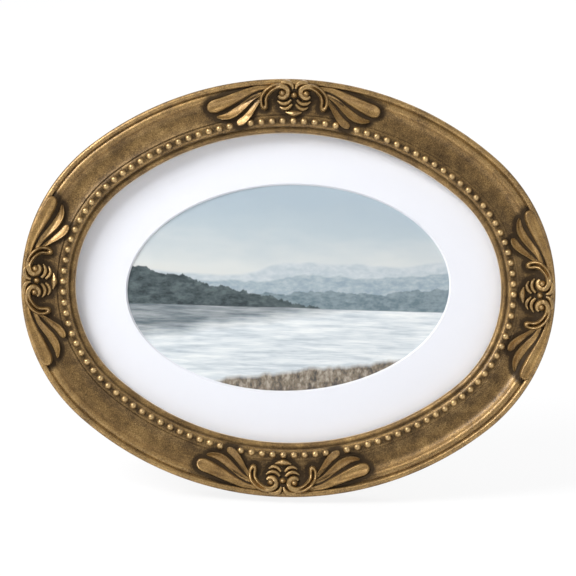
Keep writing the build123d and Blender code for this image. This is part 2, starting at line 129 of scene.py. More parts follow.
lamp("key", (-0.81, -0.53, 0.95), 0.6, 19.0)
lamp("fill", (0.85, -0.95, 0.45), 0.8, 2.6)
lamp("rear", (0.3, 1.0, 0.8), 0.8, 5.0)
world = bpy.data.worlds.new("room")
scene.world = world
world.use_nodes = True
made, links = world.node_tree.nodes, world.node_tree.links
made["Background"].inputs["Color"].default_value = (0.95, 0.96, 1.0, 1)
facing = made.new("ShaderNodeVectorMath")
facing.operation = "DOT_PRODUCT"
facing.inputs[1].default_value = out
links.new(made.new("ShaderNodeTexCoord").outputs["Generated"], facing.inputs[0])
level = made.new("ShaderNodeMapRange")
level.inputs["From Min"].default_value = 0.45
level.inputs["From Max"].default_value = 0.92
level.inputs["To Min"].default_value = 0.70
level.inputs["To Max"].default_value = 0.24
links.new(facing.outputs["Value"], level.inputs["Value"])
links.new(level.outputs[0], made["Background"].inputs["Strength"])
scene.view_settings.view_transform = "Standard"

# %% [markdown]
# The ground is a white table.  Most of what the camera sees of it is a plain
# white glow, so that it reads as paper white, and the rest is an ordinary matt
# surface, which keeps the shadow that the frame throws.

# %% White table
def new_material(name):
    material = bpy.data.materials.new(name)
    material.use_nodes = True
    tree = material.node_tree
    return material, tree.nodes, tree.links, tree.nodes["Principled BSDF"]


def table_finish():
    material, made, links, shader = new_material("white_table")
    shader.inputs["Base Color"].default_value = (0.9, 0.9, 0.9, 1)
    shader.inputs["Roughness"].default_value = 0.9
    path = made.new("ShaderNodeLightPath")
    share = made.new("ShaderNodeMath")
    share.operation = "MULTIPLY"
    share.inputs[1].default_value = 0.86
    links.new(path.outputs["Is Camera Ray"], share.inputs[0])
    glow = made.new("ShaderNodeEmission")
    glow.inputs["Color"].default_value = (1, 1, 1, 1)
    mix = made.new("ShaderNodeMixShader")
    links.new(share.outputs[0], mix.inputs[0])
    links.new(shader.outputs[0], mix.inputs[1])
    links.new(glow.outputs[0], mix.inputs[2])
    links.new(mix.outputs[0], made["Material Output"].inputs["Surface"])
    return material


bm = bmesh.new()
bmesh.ops.create_grid(bm, x_segments=1, y_segments=1, size=6)
table_mesh = bpy.data.meshes.new("table")
bm.to_mesh(table_mesh)
bm.free()
table = bpy.data.objects.new("table", table_mesh)
scene.collection.objects.link(table)
table.data.materials.append(table_finish())

# %% [markdown]
# The gilding is bronze paint over brown, rubbed back, and the whole is finely speckled.
# The dark wash in the hollows is partly that brown toning and partly painted shade,
# laid where shadow falls in grooves, between beads and round the carvings; the bright
# raised edges are partly rubbed gilding and partly painted highlight.  How much of each
# a spot has is kept on each mesh as two attributes, one for the wash with its painted
# shade and one for the rub with its painted highlight.

# %% Antique gilding
def noise(made, links, vector, scale, detail=4.0, rough=0.6):
    """A cloudy pattern on given coordinates."""
    cloud = made.new("ShaderNodeTexNoise")
    cloud.inputs["Scale"].default_value = scale
    cloud.inputs["Detail"].default_value = detail
    cloud.inputs["Roughness"].default_value = rough
    links.new(vector, cloud.inputs["Vector"])
    return cloud.outputs["Fac"]


def ramp(made, links, value, stops):
    """A colour ramp from a list of place and colour."""
    band = made.new("ShaderNodeValToRGB")
    points = band.color_ramp.elements
    while len(points) < len(stops):
        points.new(0.5)
    for point, (place, colour) in zip(points, stops):
        point.position = place
        point.color = (*colour, 1)
    links.new(value, band.inputs["Fac"])
    return band.outputs["Color"]


def sums(made, links, operation, first, second):
    """One step of arithmetic; either side is a socket or a number."""
    step = made.new("ShaderNodeMath")
    step.operation = operation
    for socket, value in zip(step.inputs, (first, second)):
        if isinstance(value, (int, float)):
            socket.default_value = value
        else:
            links.new(value, socket)
    return step.outputs[0]


def blend(made, links, share, first, second):
    """Mix two colours; each is a socket or a colour."""
    mix = made.new("ShaderNodeMix")
    mix.data_type = "RGBA"
    links.new(share, mix.inputs["Factor"])
    for socket, value in ((mix.inputs[6], first), (mix.inputs[7], second)):
        if isinstance(value, tuple):
            socket.default_value = (*value, 1)
        else:
            links.new(value, socket)
    return mix.outputs[2]


def relief(made, links, shader, height, distance, strength):
    """Fine relief on the surface from a height pattern."""
    bump = made.new("ShaderNodeBump")
    bump.inputs["Distance"].default_value = distance
    bump.inputs["Strength"].default_value = strength
    links.new(height, bump.inputs["Height"])
    links.new(bump.outputs[0], shader.inputs["Normal"])


def attribute(made, name):
    reader = made.new("ShaderNodeAttribute")
    reader.attribute_name = name
    return reader.outputs["Fac"]


def antique_gilding():
    material, made, links, shader = new_material("antique_gilding")
    spot = made.new("ShaderNodeTexCoord").outputs["Object"]
    speckle = noise(made, links, spot, 2000, 3, 0.7)
    patch = noise(made, links, spot, 130, 5, 0.65)
    bloom = sums(made, links, "ADD", sums(made, links, "MULTIPLY", speckle, 0.55),
                 sums(made, links, "MULTIPLY", patch, 0.45))
    gold = ramp(made, links, bloom, (
        (0.32, (0.060, 0.031, 0.009)),
        (0.46, (0.220, 0.126, 0.038)),
        (0.56, (0.350, 0.210, 0.068)),
        (0.72, (0.600, 0.405, 0.165)),
    ))
    # The wash: brown toning in the hollows together with painted shade, darkening the colour.
    wash_and_shade = sums(made, links, "ADD", attribute(made, "wash_and_shade"),
                sums(made, links, "MULTIPLY", sums(made, links, "SUBTRACT", bloom, 0.5), -0.9))
    wash_and_shade_share = ramp(made, links, wash_and_shade, ((0.16, (0, 0, 0)), (0.85, (0.94, 0.94, 0.94))))
    washed_and_shaded = blend(made, links, wash_and_shade_share, gold, (0.030, 0.018, 0.008))
    # The rub: rubbed gilding together with painted highlight, a pale gold on raised parts.
    rub_and_highlight = sums(made, links, "ADD", attribute(made, "rub_and_highlight"),
               sums(made, links, "MULTIPLY", sums(made, links, "SUBTRACT", speckle, 0.5), 0.5))
    rub_and_highlight_share = ramp(made, links, rub_and_highlight, ((0.25, (0, 0, 0)), (1.0, (0.8, 0.8, 0.8))))
    colour = blend(made, links, rub_and_highlight_share, washed_and_shaded, (0.780, 0.570, 0.280))
    links.new(colour, shader.inputs["Base Color"])
    shader.inputs["Metallic"].default_value = 0.72
    bare = sums(made, links, "SUBTRACT", 1.0, wash_and_shade_share)
    links.new(sums(made, links, "MULTIPLY", bare, 0.42), shader.inputs["Coat Weight"])
    shader.inputs["Coat Roughness"].default_value = 0.30
    rough = ramp(made, links, bloom, ((0.3, (0.54, 0.54, 0.54)), (0.7, (0.35, 0.35, 0.35))))
    rough = sums(made, links, "ADD", rough, sums(made, links, "MULTIPLY", wash_and_shade_share, 0.35))
    rough = sums(made, links, "SUBTRACT", rough, sums(made, links, "MULTIPLY", rub_and_highlight_share, 0.12))
    links.new(rough, shader.inputs["Roughness"])
    relief(made, links, shader, bloom, 0.00022, 0.55)
    return material


gilding = antique_gilding()


def gild(piece, marks):
    """Write the wash with its painted shade and the rub with its painted highlight of every vertex, in the
    order of the mesh.
    """
    for name, column in (("wash_and_shade", 0), ("rub_and_highlight", 1)):
        layer = piece.data.attributes.new(name, "FLOAT", "POINT")
        layer.data.foreach_set("value", [mark[column] for mark in marks])
    piece.data.materials.append(gilding)


# %% [markdown]
# The oval is struck from four centres: a short radius round each end and a long
# one along top and bottom.  A moulding like this is turned or run against a
# template, so its cross-section is drawn once and swept round the four centres.

# %% The oval and its cross-section
end_radius = 0.845 * half_height
end_centre = half_width - end_radius
long_radius = (end_centre**2 + half_height**2 - end_radius**2) / (2 * (half_height - end_radius))
long_centre = half_height - long_radius
joint_angle = math.atan2(-long_centre, end_centre)


def inset_of(x, u):
    """Distance of a point of the face in from the outer edge."""
    x, u = abs(x), abs(u)
    if math.atan2(u, x - end_centre) <= joint_angle:
        return end_radius - math.hypot(x - end_centre, u)
    return long_radius - math.hypot(x, u - long_centre)


def arc(start, middle, end, count):
    """Points on the circle through three points."""
    (ax, ay), (bx, by), (cx, cy) = start, middle, end
    d = 2 * (ax * (by - cy) + bx * (cy - ay) + cx * (ay - by))
    a2, b2, c2 = ax * ax + ay * ay, bx * bx + by * by, cx * cx + cy * cy
    ox = (a2 * (by - cy) + b2 * (cy - ay) + c2 * (ay - by)) / d
    oy = (a2 * (cx - bx) + b2 * (ax - cx) + c2 * (bx - ax)) / d
    radius = math.hypot(ax - ox, ay - oy)
    first, last = math.atan2(ay - oy, ax - ox), math.atan2(cy - oy, cx - ox)
    through = math.atan2(by - oy, bx - ox)
    while last < first:
        last += 2 * math.pi
    while through < first:
        through += 2 * math.pi
    if through > last:
        last -= 2 * math.pi
    turns = [first + (last - first) * i / count for i in range(count + 1)]
    return [(ox + radius * math.cos(t), oy + radius * math.sin(t)) for t in turns]


roll_line = arc((0.12, 15.25), (1.5, 16.8), (2.8, 15.75), 12)
fillet_line = arc((3.2, 15.5), (4.6, 15.95), (6.1, 15.35), 10)
cove_fall = arc((6.1, 15.35), (8.0, 13.8), (10.6, 13.2), 12)
cove_rise = arc((10.6, 13.2), (13.4, 13.38), (15.6, 13.95), 14)
cove_line = cove_fall[1:] + cove_rise[1:]
band_line = arc((16.4, 13.6), (18.7, 14.05), (20.8, 13.4), 12)
lip_line = arc((22.3, 11.5), (23.4, 11.1), (24.2, 9.6), 8)
section = (
    [(16.9, 0.0), (2.2, 0.0), (1.7, 0.35), (1.6, 0.9), (1.6, 9.5), (0.75, 13.9)]
    + roll_line
    + [(2.92, 15.42), (3.08, 15.40)]
    + fillet_line
    + cove_line
    + [(15.9, 14.05), (16.15, 13.65)]
    + band_line
    + [(21.05, 13.1), (21.3, 12.1), (21.6, 11.4), (21.95, 11.35)]
    + lip_line
    + [(24.2, 6.4), (16.9, 6.4)]
)
print("section points", len(section))

# %% [markdown]
# Where the wash lies on the moulding follows from the section: deep in the two
# grooves and under the beads, thin in the cove, rubbed off the roll and the
# arrises.  The dark of the grooves and round the beads is partly painted shade,
# and the rubbing on the roll and arrises is partly painted highlight.  A short
# table by distance from the outer edge says so.

# %% Wash and painted shade across the moulding
wash_and_shade_table = (
    (0.0, 0.45, 0.0), (0.4, 0.20, 0.20), (1.4, 0.12, 0.36), (2.2, 0.18, 0.28), (3.0, 0.40, 0.0),
    (3.5, 0.18, 0.20), (4.4, 0.12, 0.36), (5.4, 0.15, 0.20), (7.0, 0.28, 0.05), (9.0, 0.52, 0.0),
    (12.0, 0.54, 0.0), (14.5, 0.64, 0.0), (15.5, 0.56, 0.05), (16.2, 0.70, 0.0), (16.7, 0.48, 0.05),
    (17.4, 0.66, 0.0), (18.8, 0.82, 0.0), (20.0, 0.62, 0.0), (20.6, 0.26, 0.20), (20.9, 0.28, 0.20),
    (21.7, 0.75, 0.0), (22.3, 0.48, 0.0), (23.3, 0.36, 0.08), (24.0, 0.34, 0.08), (24.3, 0.5, 0.0),
)


def marks_at(inset):
    """Wash with painted shade, and rub with painted highlight, at a distance in millimetres from the outer
    edge.
    """
    for near, far in zip(wash_and_shade_table, wash_and_shade_table[1:]):
        if inset <= far[0]:
            part = max(0.0, (inset - near[0]) / (far[0] - near[0]))
            return tuple(near[i] + (far[i] - near[i]) * part for i in (1, 2))
    return wash_and_shade_table[-1][1:]


# %% [markdown]
# The ornament is alike at the four ends of the axes: on each side three petals,
# a scroll with a round eye, two crescents and a curl, and on the middle line a
# bead and a lozenge.  At left and right the outer petal lies nearer the edge.
# Each is a strip of grid laid along a line on the face.  Along, inwards, half
# width and height are shares of the rail.

# %% Lines of the ornament
petal_outer = (
    (0.44, 0.165, 0.030, 0.030), (0.70, 0.205, 0.052, 0.058), (0.96, 0.322, 0.082, 0.080),
    (1.22, 0.450, 0.108, 0.094), (1.42, 0.540, 0.122, 0.100), (1.60, 0.606, 0.118, 0.094),
)
petal_outer_side = (
    (0.46, 0.130, 0.040, 0.030), (0.66, 0.170, 0.064, 0.058), (0.90, 0.258, 0.092, 0.078),
    (1.16, 0.395, 0.114, 0.092), (1.38, 0.510, 0.122, 0.098), (1.56, 0.590, 0.112, 0.090),
)
petal_middle = (
    (0.54, 0.260, 0.030, 0.034), (0.755, 0.372, 0.050, 0.066), (0.925, 0.520, 0.070, 0.086),
    (1.065, 0.640, 0.082, 0.096), (1.19, 0.714, 0.076, 0.096), (1.31, 0.744, 0.052, 0.080),
    (1.42, 0.742, 0.020, 0.046),
)
petal_inner = (
    (0.59, 0.335, 0.028, 0.034), (0.72, 0.520, 0.048, 0.064), (0.825, 0.680, 0.066, 0.080),
    (0.920, 0.790, 0.076, 0.082), (1.045, 0.868, 0.070, 0.070),
)
scroll = (
    (0.290, 0.318, 0.026, 0.050), (0.246, 0.356, 0.040, 0.066), (0.176, 0.348, 0.049, 0.074),
    (0.122, 0.284, 0.053, 0.080), (0.136, 0.196, 0.057, 0.084), (0.226, 0.146, 0.062, 0.088),
    (0.345, 0.156, 0.068, 0.092), (0.455, 0.218, 0.076, 0.096), (0.538, 0.316, 0.082, 0.098),
    (0.564, 0.425, 0.084, 0.096), (0.530, 0.598, 0.078, 0.086),
)
crescent_upper = (
    (0.056, 0.386, 0.028, 0.046), (0.106, 0.438, 0.038, 0.056), (0.172, 0.464, 0.041, 0.058),
    (0.240, 0.455, 0.036, 0.052), (0.310, 0.412, 0.014, 0.028),
)
crescent_lower = (
    (0.038, 0.470, 0.026, 0.044), (0.086, 0.526, 0.036, 0.052), (0.146, 0.556, 0.038, 0.052),
    (0.204, 0.552, 0.033, 0.046), (0.262, 0.522, 0.014, 0.026),
)
curl = (
    (0.022, 0.190, 0.024, 0.042), (0.050, 0.120, 0.048, 0.062), (0.115, 0.076, 0.055, 0.066),
    (0.190, 0.070, 0.051, 0.062), (0.270, 0.100, 0.036, 0.048),
)
lozenge = (
    (-0.150, 0.616, 0.012, 0.024), (-0.078, 0.632, 0.044, 0.058), (0.0, 0.640, 0.064, 0.088),
    (0.078, 0.632, 0.044, 0.058), (0.150, 0.616, 0.012, 0.024),
)
eye, centre_bead = (0.218, 0.270, 0.064, 0.122), (0.0, 0.300, 0.060, 0.106)


def flow(rows, share):
    """Smooth values between the rows of a line, share from 0 to 1."""
    place = share * (len(rows) - 1)
    i = min(int(place), len(rows) - 2)
    t = place - i
    p0, p1, p2, p3 = rows[max(i - 1, 0)], rows[i], rows[i + 1], rows[min(i + 2, len(rows) - 1)]
    return [
        0.5 * (2 * b + (c - a) * t + (2 * a - 5 * b + 4 * c - d) * t * t + (3 * b - a - 3 * c + d) * t**3)
        for a, b, c, d in zip(p0, p1, p2, p3)
    ]


# %% [markdown]
# Four cross-sections do for all of them: full like a cushion, a petal with a faint
# rim, a leaf that falls to one side, and a round arm that opens into a groove.
# Every strip dips a little into the moulding and its underside is filled.

# %% Strips on the face
cove_face = [(1.5, 16.35)] + fillet_line[4:] + cove_line + [(18.7, 14.0), (24.2, 13.8)]
sink, side_squeeze = 0.020, 0.96


def face_at(inset):
    """Height of the face under an ornament, in metres."""
    place = inset / mm
    for (x0, n0), (x1, n1) in zip(cove_face, cove_face[1:]):
        if place <= x1:
            part = max(0.0, (place - x0) / (x1 - x0))
            return (n0 + (n1 - n0) * part) * mm
    return cove_face[-1][1] * mm


def edge_of(t, bend):
    """0 on the ridge of a strip and 1 on its edge or round its tip."""
    return min(1.0, math.hypot(t * math.cos(bend), math.sin(bend)))


def cushion(share, t, bend):
    return 1 - edge_of(t, bend) ** 4


def petal(share, t, bend):
    edge = edge_of(t, bend)
    return (0.60 + 0.12 * t + 0.28 * edge**2) * (1 - edge**9)


def leaf(share, t, bend):
    return (0.30 + 0.70 * ((t + 1) / 2) ** 1.9) * (1 - edge_of(t, bend) ** 11)


def scrolled(share, t, bend):
    edge = edge_of(t, bend)
    groove = 0.85 * min(1.0, max(0.0, (share - 0.52) / 0.22))
    return (1 - groove * math.exp(-((edge / 0.27) ** 2))) * (1 - edge**5)


class End:
    """One end of an axis, as a place for an ornament."""

    def __init__(self, on_top):
        self.on_top = on_top
        self.outer = petal_outer if on_top else petal_outer_side

    def spot(self, along, inward, rise):
        a, i = along * rail_width, inward * rail_width
        x, u = (a, half_height - i) if self.on_top else (half_width - side_squeeze * i, a)
        return Vector((x, u, face_at(inset_of(x, u)) + rise * rail_width))


def strip(bm, lift, end, rows, form, lengths, widths, cap=0.0):
    """Lay one strip; lift keeps how high each vertex stands, from 0 to 1."""
    grid = bmesh.ops.create_grid(bm, x_segments=lengths, y_segments=widths, size=1)
    for v in grid["verts"]:
        share, t = (v.co.x + 1) / 2, v.co.y
        bend = max(0.0, (share - 1 + cap) / cap) * math.pi / 2 if cap else 0.0
        if bend:
            share = 1 - cap + cap * math.sin(bend)
        along, inward, half, ridge = flow(rows, share)
        half *= max(math.cos(bend), 0.03)
        ahead, behind = flow(rows, min(share + 0.01, 1)), flow(rows, max(share - 0.01, 0))
        run = math.hypot(ahead[0] - behind[0], ahead[1] - behind[1])
        along += half * t * (behind[1] - ahead[1]) / run
        inward += half * t * (ahead[0] - behind[0]) / run
        v[lift] = form(share, t, bend)
        v.co = end.spot(along, inward, (ridge + sink) * v[lift] - sink)
    rim = [e for e in bm.edges if e.is_boundary]
    bmesh.ops.holes_fill(bm, edges=rim)


def boss(bm, lift, end, share, segments):
    """A round bead on the face."""
    along, inward, half, ridge = share
    made = bmesh.ops.create_uvsphere(bm, u_segments=segments, v_segments=segments // 2 + 2, radius=1)
    base = end.spot(along, inward, 0)
    for v in made["verts"]:
        v[lift] = max(0.0, v.co.z)
        v.co = base + Vector((v.co.x * half, v.co.y * half, v.co.z * ridge)) * rail_width


def half_ornament(bm, lift, end):
    """Everything on one side of the middle line."""
    strip(bm, lift, end, end.outer, petal, 56, 20, 0.17)
    strip(bm, lift, end, petal_middle, leaf, 52, 20, 0.08)
    strip(bm, lift, end, petal_inner, leaf, 44, 20, 0.20)
    strip(bm, lift, end, scroll, scrolled, 104, 18, 0.07)
    strip(bm, lift, end, crescent_upper, cushion, 24, 10)
    strip(bm, lift, end, crescent_lower, cushion, 24, 10)
    strip(bm, lift, end, curl, cushion, 28, 10, 0.14)
    boss(bm, lift, end, eye, 20)


# %% [markdown]
# One quarter-symmetric carving gives all four: the half is doubled across its
# middle line, the bead and lozenge are added, and the whole is doubled
# again across the oval, once for top and bottom and once for left and right.

# %% Ornaments
def doubled(bm, axis):
    """Add the mirror image across the plane where this axis is zero."""
    copy = bmesh.ops.duplicate(bm, geom=bm.verts[:] + bm.edges[:] + bm.faces[:])
    twins = [g for g in copy["geom"] if isinstance(g, bmesh.types.BMVert)]
    flip = Matrix.Identity(4)
    flip[axis][axis] = -1
    bmesh.ops.transform(bm, matrix=flip, verts=twins)
    faces = [g for g in copy["geom"] if isinstance(g, bmesh.types.BMFace)]
    bmesh.ops.reverse_faces(bm, faces=faces)


def ornament_pair(name, on_top, node):
    end = End(on_top)
    bm = bmesh.new()
    lift = bm.verts.layers.float.new("lift")
    half_ornament(bm, lift, end)
    doubled(bm, 0 if on_top else 1)
    strip(bm, lift, end, lozenge, cushion, 28, 12)
    boss(bm, lift, end, centre_bead, 16)
    doubled(bm, 1 if on_top else 0)
    lifts = [v[lift] for v in bm.verts]
    piece = finish_piece(name, bm, "frame", smooth_angle=60)
    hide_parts(node)
    marks = []
    # Each carving is painted darker towards its low foot, as painted shade along with wash, and paler on
    # its high parts, partly as painted highlight.
    for height in lifts:
        wash_and_shade = 0.95 * (1 - max(0.0, height) / 0.42)
        marks.append((max(0.0, wash_and_shade), max(0.0, height - 0.55) * 0.9))
    gild(piece, marks)
    return piece


top_bottom = ornament_pair("carving_top_bottom", True, "ornaments_top_bottom")
left_right = ornament_pair("carving_left_right", False, "ornaments_left_right")

# %% [markdown]
# The moulding is the section spun round the four centres in turn, each spin
# starting from the ring where the last one stopped, and the seam merged.  The
# ground close to a carving is painted darker, as painted shade on top of the wash.

# %% Moulding
bm = bmesh.new()
corner = Vector((end_centre + end_radius * math.cos(joint_angle), end_radius * math.sin(joint_angle), 0))
inwards = Vector((-math.cos(joint_angle), -math.sin(joint_angle), 0))
ring = [bm.verts.new(corner + inwards * (d * mm) + Vector((0, 0, n * mm))) for d, n in section]
edges = [bm.edges.new((a, b)) for a, b in zip(ring, ring[1:] + ring[:1])]
geom = ring + edges
long_arc, end_arc = math.pi - 2 * joint_angle, 2 * joint_angle
for centre, angle, steps in (
    ((0, long_centre, 0), long_arc, 190), ((-end_centre, 0, 0), end_arc, 140),
    ((0, -long_centre, 0), long_arc, 190), ((end_centre, 0, 0), end_arc, 140),
):
    spun = bmesh.ops.spin(bm, geom=geom, cent=centre, axis=(0, 0, 1), angle=angle, steps=steps)
    geom = spun["geom_last"]
bmesh.ops.remove_doubles(bm, verts=bm.verts[:], dist=0.01 * mm)
carved = [v.co for piece in (top_bottom, left_right) for v in piece.data.vertices]
near = kdtree.KDTree(len(carved))
for i, co in enumerate(carved):
    near.insert(co, i)
near.balance()
marks = []
for v in bm.verts:
    inset = inset_of(v.co.x, v.co.y) / mm
    wash_and_shade, rub_and_highlight = marks_at(inset)
    # The inner wall of the sight edge is left fully rubbed and pale, so that it throws more light onto the
    # mat.
    if inset > 24.1:
        wash_and_shade, rub_and_highlight = 0.0, 1.0
    elif v.co.z < 6.5 * mm or (inset < 1.7 and v.co.z < 13.5 * mm):
        wash_and_shade, rub_and_highlight = 0.45, 0.0
    # Near a carving the ground gets painted shade, deeper the closer it lies.
    elif inset > 2.6:
        gap = near.find(face_place @ v.co)[2] / mm
        ground_shade = min(0.95, 1.3 * max(0.0, 1 - gap / 4.6))
        wash_and_shade, rub_and_highlight = max(wash_and_shade, ground_shade), rub_and_highlight * (1 - ground_shade)
    marks.append((wash_and_shade, rub_and_highlight))
moulding = finish_piece("gilt_moulding", bm, "frame", smooth_angle=50)
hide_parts("moulding")
gild(moulding, marks)

# %% [markdown]
# A row of beads runs along the inner band, evenly spaced so that one stands on
# each end of each axis.  At top and bottom a petal tip takes a bead's place.  Each
# is a small sphere, squashed a little and sunk in the band.

# %% Beads
bead_in, bead_radius, bead_floor = 18.8 * mm, 1.62 * mm, 13.75 * mm
beads_per_quarter, petal_tip_bead = 29, 5
end_run = (end_radius - bead_in) * joint_angle
long_run = (long_radius - bead_in) * (math.pi / 2 - joint_angle)
bead_spots = set()
for i in range(beads_per_quarter + 1):
    run = i * (end_run + long_run) / beads_per_quarter
    turn = run / (end_radius - bead_in)
    x = end_centre + (end_radius - bead_in) * math.cos(turn)
    u = (end_radius - bead_in) * math.sin(turn)
    if run > end_run:
        turn = joint_angle + (run - end_run) / (long_radius - bead_in)
        x = (long_radius - bead_in) * math.cos(turn)
        u = long_centre + (long_radius - bead_in) * math.sin(turn)
    if i != beads_per_quarter - petal_tip_bead:
        for sx, su in ((1, 1), (-1, 1), (-1, -1), (1, -1)):
            bead_spots.add((0.0 if i == beads_per_quarter else sx * x, 0.0 if i == 0 else su * u))
bm = bmesh.new()
for x, u in sorted(bead_spots):
    place = Matrix.Translation((x, u, bead_floor)) @ Matrix.Diagonal((1, 1, 0.9, 1))
    bmesh.ops.create_uvsphere(bm, u_segments=14, v_segments=9, radius=bead_radius, matrix=place)
# The foot of each bead is painted dark as the shade round it, and its top pale, partly as painted
# highlight.
marks = []
for v in bm.verts:
    lift = (v.co.z - bead_floor) / bead_radius
    marks.append((max(0.0, 1.0 - 2.6 * lift), max(0.0, 1.2 * (lift - 0.35))))
beads = finish_piece("gilt_beads", bm, "frame", smooth_angle=80)
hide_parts("bead_course")
gild(beads, marks)
print("beads", len(bead_spots))

# %% [markdown]
# Glass over paper must let the light through to it.  A clear see-through shader
# with a thin layer of gloss does that, where a solid refracting block would
# leave the mat in shade.

# %% Glass
def clear_glass():
    material, made, links, shader = new_material("clear_glass")
    made.remove(shader)
    clear = made.new("ShaderNodeBsdfTransparent")
    clear.inputs["Color"].default_value = (0.985, 0.99, 0.988, 1)
    gloss = made.new("ShaderNodeBsdfGlossy")
    gloss.inputs["Roughness"].default_value = 0.02
    mix = made.new("ShaderNodeMixShader")
    mix.inputs[0].default_value = 0.03
    links.new(clear.outputs[0], mix.inputs[1])
    links.new(gloss.outputs[0], mix.inputs[2])
    links.new(mix.outputs[0], made["Material Output"].inputs["Surface"])
    return material


def dress(name, material):
    """Give a CAD node a finish of its own."""
    nodes[name].data.materials.clear()
    nodes[name].data.materials.append(material)
    print(name, "->", material.name)


dress("glass", clear_glass())

# %% [markdown]
# The mat is smooth mount board, a cool white with the faintest tooth.  Its cut
# edge is the same board, so one finish serves for face and bevel.

# %% Mat
def mount_board():
    material, made, links, shader = new_material("mount_board")
    spot = made.new("ShaderNodeTexCoord").outputs["Object"]
    tooth = noise(made, links, spot, 2600, 3, 0.6)
    colour = ramp(made, links, tooth, ((0.3, (0.745, 0.740, 0.790)), (0.7, (0.785, 0.780, 0.828))))
    links.new(colour, shader.inputs["Base Color"])
    shader.inputs["Roughness"].default_value = 0.85
    relief(made, links, shader, tooth, 0.00003, 0.25)
    return material


dress("mat", mount_board())

# %% [markdown]
# The print is a made-up view of misty hills over a pale lake.  Each hill is a
# line of noise along x: below the line the hill's colour, above it what lies
# behind.  Far hills are pale, near ones dark, and the lake mirrors the headland.

# %% Print of misty hills
def misty_hills():
    material, made, links, shader = new_material("misty_hills")
    where = made.new("ShaderNodeTexCoord").outputs["Object"]
    lay = made.new("ShaderNodeMapping")
    lay.vector_type = "TEXTURE"
    lay.inputs["Location"].default_value = face_centre
    lay.inputs["Rotation"].default_value = face_turn
    lay.inputs["Scale"].default_value = (mm, mm, mm)
    links.new(where, lay.inputs["Vector"])
    split = made.new("ShaderNodeSeparateXYZ")
    links.new(lay.outputs[0], split.inputs[0])
    x, u = split.outputs["X"], split.outputs["Y"]

    def line(seed, scale, base, fall, height, detail, rough):
        """Height of one hill's outline along x."""
        wave = made.new("ShaderNodeTexNoise")
        wave.noise_dimensions = "1D"
        wave.inputs["Scale"].default_value = scale
        wave.inputs["Detail"].default_value = detail
        wave.inputs["Roughness"].default_value = rough
        links.new(sums(made, links, "ADD", x, seed), wave.inputs["W"])
        centred = sums(made, links, "SUBTRACT", wave.outputs["Fac"], 0.5)
        swing = sums(made, links, "MULTIPLY", centred, height)
        slope = sums(made, links, "ADD", sums(made, links, "MULTIPLY", x, fall), base)
        return sums(made, links, "ADD", swing, slope)

    def below(outline, soft):
        """1 under an outline and 0 over it."""
        depth = sums(made, links, "DIVIDE", sums(made, links, "SUBTRACT", outline, u), soft)
        clip = made.new("ShaderNodeClamp")
        links.new(sums(made, links, "ADD", depth, 0.5), clip.inputs["Value"])
        return clip.outputs[0]

    def brushed(scale_x, scale_u, detail):
        """Streaks of paint, drawn out sideways."""
        stretch = made.new("ShaderNodeMapping")
        stretch.inputs["Scale"].default_value = (scale_x, scale_u, 1)
        links.new(lay.outputs[0], stretch.inputs["Vector"])
        return noise(made, links, stretch.outputs[0], 1.0, detail, 0.6)

    cloud = brushed(0.030, 0.085, 5)
    high = sums(made, links, "MULTIPLY", sums(made, links, "ADD", u, 2.0), 0.019)
    sky_place = sums(made, links, "ADD", high, sums(made, links, "MULTIPLY", cloud, 0.42))
    picture = ramp(made, links, sky_place, (
        (0.16, (0.650, 0.620, 0.570)), (0.42, (0.600, 0.610, 0.600)),
        (0.72, (0.430, 0.490, 0.530)), (1.0, (0.370, 0.440, 0.500)),
    ))
    daub = brushed(0.25, 0.45, 4)
    hills = (
        (11.0, 0.018, 9.0, 0.04, 16.0, 3, 0.45, 1.2, (0.420, 0.470, 0.510), (0.540, 0.570, 0.590)),
        (57.0, 0.024, 3.5, 0.07, 15.0, 4, 0.50, 0.8, (0.250, 0.320, 0.370), (0.400, 0.450, 0.480)),
        (123.0, 0.034, -2.5, 0.05, 11.0, 6, 0.60, 0.5, (0.110, 0.160, 0.190), (0.240, 0.295, 0.320)),
        (201.0, 0.050, -6.0, -0.20, 9.0, 10, 0.78, 0.4, (0.012, 0.024, 0.030), (0.090, 0.120, 0.125)),
    )
    for seed, scale, base, fall, height, detail, rough, soft, dark, pale in hills:
        tone = ramp(made, links, daub, ((0.35, dark), (0.68, pale)))
        outline = line(seed, scale, base, fall, height, detail, rough)
        picture = blend(made, links, below(outline, soft), picture, tone)
    ripple = brushed(0.060, 0.62, 7)
    lake = ramp(made, links, ripple, (
        (0.30, (0.400, 0.450, 0.500)), (0.46, (0.590, 0.625, 0.655)),
        (0.60, (0.720, 0.735, 0.745)), (0.72, (0.810, 0.815, 0.810)),
    ))
    mirror = line(201.0, 0.050, -12.0, 0.16, -5.0, 3, 0.5)
    shade = sums(made, links, "SUBTRACT", 1.0, below(mirror, 7.0))
    shade = sums(made, links, "MULTIPLY", shade, sums(made, links, "SUBTRACT", 1.25, ripple))
    lake = blend(made, links, shade, lake, (0.060, 0.085, 0.100))
    picture = blend(made, links, below(line(77.0, 0.020, -9.0, 0.0, 1.2, 2, 0.4), 0.4), picture, lake)
    shore = line(311.0, 0.030, -38.0, 0.13, 8.0, 6, 0.62)
    sedge = brushed(0.55, 0.30, 6)
    bank = ramp(made, links, sedge, (
        (0.34, (0.050, 0.045, 0.040)), (0.50, (0.200, 0.155, 0.110)), (0.66, (0.400, 0.350, 0.290)),
    ))
    picture = blend(made, links, below(shore, 2.2), picture, bank)
    links.new(picture, shader.inputs["Base Color"])
    shader.inputs["Roughness"].default_value = 0.7
    relief(made, links, shader, daub, 0.00005, 0.2)
    return material


dress("picture_print", misty_hills())

# %% [markdown]
# The back is plain brown hardboard, and the strut is the same board with its
# smooth side out.  Fine fibres lie every way, with darker flecks between.

